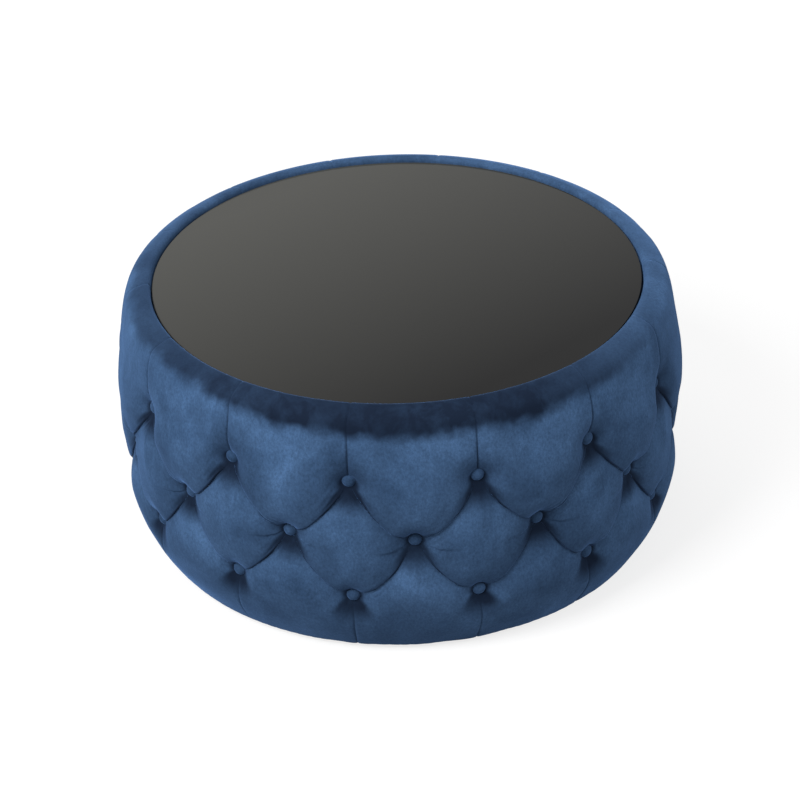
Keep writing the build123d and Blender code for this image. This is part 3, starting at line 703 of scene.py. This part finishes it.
# %% Lay out the ring's points
RECESS_TAB, HEM_TAB = 22.0, 24.0
TAB_DROP, TAB_UNDERSIDE_DROP = 14.8, 16.2
WALL_INSET = 42.8
HEM_HEIGHT = 9.9
FLOOR_ROOM = 3.0
tab_radius, wall_radius = recess_radius - RECESS_TAB, outer_radius - WALL_INSET
radius = on_line(moved_v, line[:, 0]) - sheet_depth * on_line(moved_v, outward[:, 0])
height = on_line(moved_v, line[:, 1]) - sheet_depth * on_line(moved_v, outward[:, 1])
height = np.maximum(height, FLOOR_ROOM)
back = [
    (tab_radius, total_height - TAB_DROP), (tab_radius, total_height - TAB_UNDERSIDE_DROP),
    (wall_radius, total_height - TAB_UNDERSIDE_DROP), (wall_radius, HEM_HEIGHT),
    (wall_radius - HEM_TAB, HEM_HEIGHT),
]


def ring_points(ring_radius, angles, ring_height):
    """Points round the drum, from their radius, angle and height."""
    heights = ring_height + 0.0 * angles
    return np.stack([ring_radius * np.cos(angles), ring_radius * np.sin(angles), heights], axis=-1)


points = [ring_points(radius, moved_angle, height)]
points += [ring_points(back_radius, sheet_angle[:1], back_height) for back_radius, back_height in back]
points = np.concatenate(points) * MM
ring_rows, ring_columns = points.shape[:2]
print("grid of", ring_rows, "by", ring_columns, "points")

# %% Build the velvet ring
index = np.arange(ring_rows * ring_columns).reshape(ring_rows, ring_columns)
beside = np.roll(index, -1, axis=1)
faces = np.stack([index, beside, np.roll(beside, -1, axis=0), np.roll(index, -1, axis=0)], axis=-1)
velvet_mesh = bpy.data.meshes.new("velvet_cover")
velvet_mesh.from_pydata(points.reshape(-1, 3).tolist(), [], faces.reshape(-1, 4).tolist())
# The painted shade goes on each point as a value that the velvet's material reads; the closed back gets none
painted_shade_layer = velvet_mesh.attributes.new("painted_shade_mask", "FLOAT", "POINT")
painted_shade_layer.data.foreach_set("value", np.vstack([painted_shade, np.zeros((len(back), ring_columns))]).ravel())
print("velvet", len(velvet_mesh.polygons), "faces")

# %% Close and smooth the ring
MERGE_DISTANCE = 0.02 * MM
velvet = bpy.data.objects.new("velvet_cover", velvet_mesh)
scene.collection.objects.link(velvet)
form = bmesh.new()
form.from_mesh(velvet_mesh)
bmesh.ops.remove_doubles(form, verts=form.verts, dist=MERGE_DISTANCE)
bmesh.ops.recalc_face_normals(form, faces=form.faces)
form.to_mesh(velvet_mesh)
form.free()
velvet_mesh.shade_smooth()
print("velvet", len(velvet_mesh.vertices), "points")

# %% [markdown]
# ## Helpers for finishes
# Wood, cloth and steel all start from the same blocks: a noise in the object's own space, a ramp that turns
# it into colours, a mix, and a bump that turns it into relief. Noise in object space needs no unwrapping,
# and a grain given in real size stays right on every piece.

# %% Helpers for grain and colour
def new_look(name):
    """A new material with its node tree and its main shader."""
    look = bpy.data.materials.new(name)
    look.use_nodes = True
    return look, look.node_tree, look.node_tree.nodes["Principled BSDF"]


def grain(tree, scale, detail=3.0, roughness=0.55, stretch=(1, 1, 1), distortion=0.0):
    """Noise in the object's own space, stretched along the axes."""
    place = add_node(tree, "ShaderNodeTexCoord").outputs["Object"]
    mapping = fed_node(tree, "ShaderNodeMapping", place, Scale=stretch)
    shape = {"Scale": scale, "Detail": detail, "Roughness": roughness, "Distortion": distortion}
    return fed_node(tree, "ShaderNodeTexNoise", mapping.outputs[0], **shape).outputs["Fac"]


def ramp(tree, source, stops):
    """Colours laid along a value."""
    node = fed_node(tree, "ShaderNodeValToRGB", source)
    while len(node.color_ramp.elements) < len(stops):
        node.color_ramp.elements.new(0.5)
    for element, (place, colour) in zip(node.color_ramp.elements, stops):
        element.position = place
        element.color = (*colour, 1)
    return node.outputs["Color"]


print("helpers: a new look, a grain and a ramp of colours")

# %% Helpers for mixing and relief
# A Mix node has the sockets of every kind of data; these are the ones for colours
MIX_FACTOR, MIX_FIRST, MIX_SECOND, MIX_RESULT = 0, 6, 7, 2


def mixed(tree, factor, first, second, mode="MIX"):
    """Two colours mixed by a factor; each of the three is a value or a socket."""
    node = add_node(tree, "ShaderNodeMix", data_type="RGBA", blend_type=mode)
    for place, value in ((MIX_FACTOR, factor), (MIX_FIRST, first), (MIX_SECOND, second)):
        if isinstance(value, bpy.types.NodeSocket):
            tree.links.new(value, node.inputs[place])
        else:
            node.inputs[place].default_value = (*value, 1) if isinstance(value, tuple) else value
    return node.outputs[MIX_RESULT]


def bump(tree, shader, source, strength, distance):
    """Relief from a value."""
    node = add_node(tree, "ShaderNodeBump", Strength=strength, Distance=distance)
    tree.links.new(source, node.inputs["Height"])
    tree.links.new(node.outputs[0], shader.inputs["Normal"])


print("helpers: a mix of colours and a bump")

# %% [markdown]
# ## The velvet
# Velvet is a short upright pile. It looks dark and rich face on, and pale where the pile is seen from the
# side, which a sheen layer gives. Hands brush the pile this way and that, so the colour wanders in soft
# patches, and the pile itself shows as a very fine grain. Four noises from a hand's width down to a hair
# make those patches, and the value on the mesh darkens the colour with painted shade, with a slightly
# ragged edge.

# %% Make the velvet
# The colour that the darkest painted shade mixes towards
PAINTED_SHADE_COLOUR = (0.004, 0.009, 0.022)
PATCH_STOPS = (0.31, 0.70)
PILE_RELIEF, PILE_DEPTH = 0.35, 0.0007


def velvet_look(name, deep, pale, painted_shade_share):
    """Pile velvet with brushed patches, fine flecks and, where the share is above 0, painted shade from the
    mesh.
    """
    look, tree, shader = new_look(name)
    brushed = grain(tree, 8.0, detail=4.0, roughness=0.62, distortion=0.7)
    streaks = grain(tree, 34.0, detail=4.0, roughness=0.65, stretch=(1, 1, 0.45), distortion=0.4)
    flecks = grain(tree, 330.0, detail=3.0, roughness=0.7, stretch=(1, 1, 0.7))
    pile = grain(tree, 1400.0, detail=2.0, roughness=0.6)
    colour = ramp(tree, brushed, list(zip(PATCH_STOPS, (deep, pale))))
    tones = ((streaks, 0.8, 0.80, 1.18), (flecks, 0.9, 0.74, 1.24), (pile, 0.5, 0.8, 1.2))
    for source, share, darker, lighter in tones:
        tone = ramp(tree, source, [(0.3, (darker,) * 3), (0.7, (lighter,) * 3)])
        colour = mixed(tree, share, colour, tone, "MULTIPLY")
    # The mesh's value mixes painted shade into the colour, with a slightly ragged edge
    if painted_shade_share:
        painted_shade_value = add_node(tree, "ShaderNodeAttribute", attribute_name="painted_shade_mask").outputs["Fac"]
        uneven = scaled(tree, streaks, 0.3, 0.7, 0.86, 1.12)
        shade = fed_node(tree, "ShaderNodeMath", uneven, painted_shade_value, operation="MULTIPLY").outputs[0]
        colour = mixed(tree, scaled(tree, shade, 0.0, 1.0, 0.0, painted_shade_share), colour, PAINTED_SHADE_COLOUR)
    tree.links.new(colour, shader.inputs["Base Color"])
    shader.inputs["Roughness"].default_value = 0.9
    shader.inputs["Specular IOR Level"].default_value = 0.1
    shader.inputs["Sheen Weight"].default_value = 0.42
    shader.inputs["Sheen Roughness"].default_value = 0.38
    shader.inputs["Sheen Tint"].default_value = (0.20, 0.42, 0.90, 1)
    bump(tree, shader, mixed(tree, 0.5, flecks, pile), PILE_RELIEF, PILE_DEPTH)
    return look


velvet_blue = velvet_look("velvet_blue", (0.030, 0.066, 0.138), (0.066, 0.137, 0.274), 0.98)
velvet_mesh.materials.append(velvet_blue)
print("velvet nodes", len(velvet_blue.node_tree.nodes))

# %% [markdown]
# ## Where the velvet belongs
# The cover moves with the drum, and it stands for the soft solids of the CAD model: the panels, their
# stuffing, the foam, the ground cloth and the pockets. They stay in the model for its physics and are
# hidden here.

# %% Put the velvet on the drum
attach(velvet, "ottoman")
panel_kinds = ("upper", "diamond", "lower")
stood_for = [kind + "_velvet_panels" for kind in panel_kinds]
stood_for += [kind + "_panel_stuffing" for kind in panel_kinds]
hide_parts(*stood_for, "cover_ground_cloth", "button_pockets", "side_foam", "rim_roll_foam")
print("velvet stands for the padding and", stood_for)

# %% [markdown]
# ## The buttons
# A button is a domed metal shell covered in the same velvet, stretched tight. Its velvet is a darker copy of
# the cover's: painted shade for buttons that sit deep in their wells, and no painted shade from the mesh's
# value lies on it. The domes of the CAD model are right as they are, and only their finish is new.

# %% Cover the buttons
def dress(nodes, look):
    """Gives CAD nodes their material."""
    for node in nodes:
        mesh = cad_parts[node].data
        mesh.materials.clear()
        mesh.materials.append(look)
    print(look.name, "on", len(nodes), "nodes")


# A darker copy of the cover's velvet: painted shade
button_blue = velvet_look("button_velvet_blue", (0.020, 0.046, 0.098), (0.040, 0.084, 0.172), 0.0)
dress([kind + "_buttons" for kind in KINDS], button_blue)

# %% [markdown]
# ## The glass
# The plate is tempered glass painted dark grey on its back, so its face is glossy and its colour lies
# deep. Clear glass over black paint would take two more surfaces and look the same, so one glossy dark
# skin does it. Its colour runs from the near right, which is nearly black, to the far left, which is
# lighter: a painted reflection of the room's light over the dark paint. A faint unevenness of the polish
# keeps the reflections from being perfect.

# %% Make the glass
# The way and the reach of a painted reflection that lightens the glass's colour
PAINTED_GLEAM_WAY = (-0.8, 1.0, 0.0)
PAINTED_GLEAM_REACH = 0.36
GLASS_DARK, GLASS_PALE = (0.001, 0.001, 0.001), (0.052, 0.052, 0.047)


def glass_look():
    """Back-painted dark glass, with a painted reflection that lightens it towards the far left."""
    look, tree, shader = new_look("dark_glass")
    place = add_node(tree, "ShaderNodeTexCoord").outputs["Object"]
    across = fed_node(tree, "ShaderNodeVectorMath", place, operation="DOT_PRODUCT")
    across.inputs[1].default_value = PAINTED_GLEAM_WAY
    tone = scaled(tree, across.outputs["Value"], -PAINTED_GLEAM_REACH, PAINTED_GLEAM_REACH)
    tree.links.new(ramp(tree, tone, [(0.0, GLASS_DARK), (1.0, GLASS_PALE)]), shader.inputs["Base Color"])
    shader.inputs["Specular IOR Level"].default_value = 0.12
    polish = grain(tree, 9.0, detail=2.0)
    tree.links.new(scaled(tree, polish, 0.3, 0.7, 0.03, 0.07), shader.inputs["Roughness"])
    shader.inputs["IOR"].default_value = 1.52
    return look


dress(["glass_top"], glass_look())

# %% [markdown]
# ## The timber
# The posts, rails, boards and toggles are bare wood, and whoever lifts the glass sees the top disc. Wood is
# rings of early and late growth seen lengthwise, so the noise is stretched along the grain: up the posts,
# along each rail, and across the boards. Fine pores darken it and roughen it. Hardboard is pressed fibre
# with no grain, so its noise isn't stretched.

# %% Make the timber
EARLY_PINE, LATE_PINE = (0.66, 0.47, 0.26), (0.52, 0.33, 0.16)
PORE_STOPS = [(0.4, (0.8, 0.78, 0.74)), (0.6, (1.05, 1.05, 1.05))]
PORES_PER_RING = 9


def timber_look(name, early, late, grain_scale, stretch, rough=0.6):
    """Bare wood with long grain along one axis."""
    look, tree, shader = new_look(name)
    rings = grain(tree, grain_scale, detail=5.0, roughness=0.6, stretch=stretch, distortion=0.5)
    pores = grain(tree, grain_scale * PORES_PER_RING, detail=2.0, stretch=stretch)
    colour = ramp(tree, rings, [(0.32, early), (0.5, late), (0.62, early)])
    colour = mixed(tree, 0.35, colour, ramp(tree, pores, PORE_STOPS), "MULTIPLY")
    tree.links.new(colour, shader.inputs["Base Color"])
    tree.links.new(scaled(tree, pores, 0.3, 0.7, rough - 0.08, rough + 0.12), shader.inputs["Roughness"])
    bump(tree, shader, pores, 0.2, 0.0003)
    return look


pine_up = timber_look("pine_upright", EARLY_PINE, LATE_PINE, 42.0, (1, 1, 0.06))
pine_x = timber_look("pine_lengthwise", EARLY_PINE, LATE_PINE, 42.0, (0.06, 1, 1))
pine_y = timber_look("pine_crosswise", EARLY_PINE, LATE_PINE, 42.0, (1, 0.06, 1))
ply = timber_look("birch_plywood", (0.64, 0.47, 0.28), (0.54, 0.37, 0.20), 30.0, (0.08, 1, 1.6))
toggle_wood = timber_look("toggle_beech", (0.58, 0.38, 0.20), (0.48, 0.29, 0.14), 160.0, (1, 1, 0.1))
hardboard = timber_look("hardboard_brown", (0.22, 0.12, 0.06), (0.17, 0.09, 0.04), 260.0, (1, 1, 1), 0.5)
posts = [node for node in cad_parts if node.startswith("post_") and "screws" not in node]
dress(posts + ["centre_post"], pine_up)
dress(["base_rail_x"], pine_x)
dress(["base_rail_y"], pine_y)
dress(["base_board", "top_board"], ply)
dress(["cord_toggles"], toggle_wood)
dress(["wall_panel_left", "wall_panel_right"], hardboard)

# %% [markdown]
# ## Steel, plastic, rubber and cloth
# The hidden hardware is out of sight, but whoever opens the part finds it finished too. None of it has a
# grain with a direction: plated steel is mottled, twine and cloth are fuzzy, and moulded plastic is nearly
# even. One recipe with a noise at each one's real scale gives them all.

# %% Make the steel, plastic, rubber and cloth
def plain_look(name, dark, light, scale, rough, metal=0.0, relief=0.1):
    """A fine, mottled finish, from matt cloth to plated steel."""
    look, tree, shader = new_look(name)
    mottle = grain(tree, scale, detail=4.0, roughness=0.6)
    tree.links.new(ramp(tree, mottle, [(0.3, dark), (0.7, light)]), shader.inputs["Base Color"])
    tree.links.new(scaled(tree, mottle, 0.3, 0.7, rough - 0.06, rough + 0.08), shader.inputs["Roughness"])
    shader.inputs["Metallic"].default_value = metal
    bump(tree, shader, mottle, relief, 0.0002)
    return look


def nodes_with(*words):
    """Names of the CAD nodes that hold one of the words."""
    return [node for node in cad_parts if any(word in node for word in words)]


plated = plain_look("zinc_plated_steel", (0.50, 0.50, 0.51), (0.68, 0.68, 0.69), 300.0, 0.34, metal=1.0)
twine = plain_look("waxed_twine", (0.50, 0.46, 0.38), (0.72, 0.69, 0.60), 900.0, 0.8, relief=0.5)
nonwoven = plain_look("black_nonwoven", (0.012, 0.012, 0.013), (0.035, 0.035, 0.037), 700.0, 0.9, relief=0.4)
glide_plastic = plain_look("black_glide_plastic", (0.018, 0.018, 0.018), (0.03, 0.03, 0.03), 500.0, 0.45)
bumper_rubber = plain_look("clear_bumper", (0.42, 0.42, 0.43), (0.52, 0.52, 0.53), 60.0, 0.3)
dress(nodes_with("screws", "staples", "nails", "button_backs"), plated)
dress(["tuft_cords"], twine)
dress(["dust_cover"], nonwoven)
dress(nodes_with("floor_glide"), glide_plastic)
dress(nodes_with("glass_bumper"), bumper_rubber)
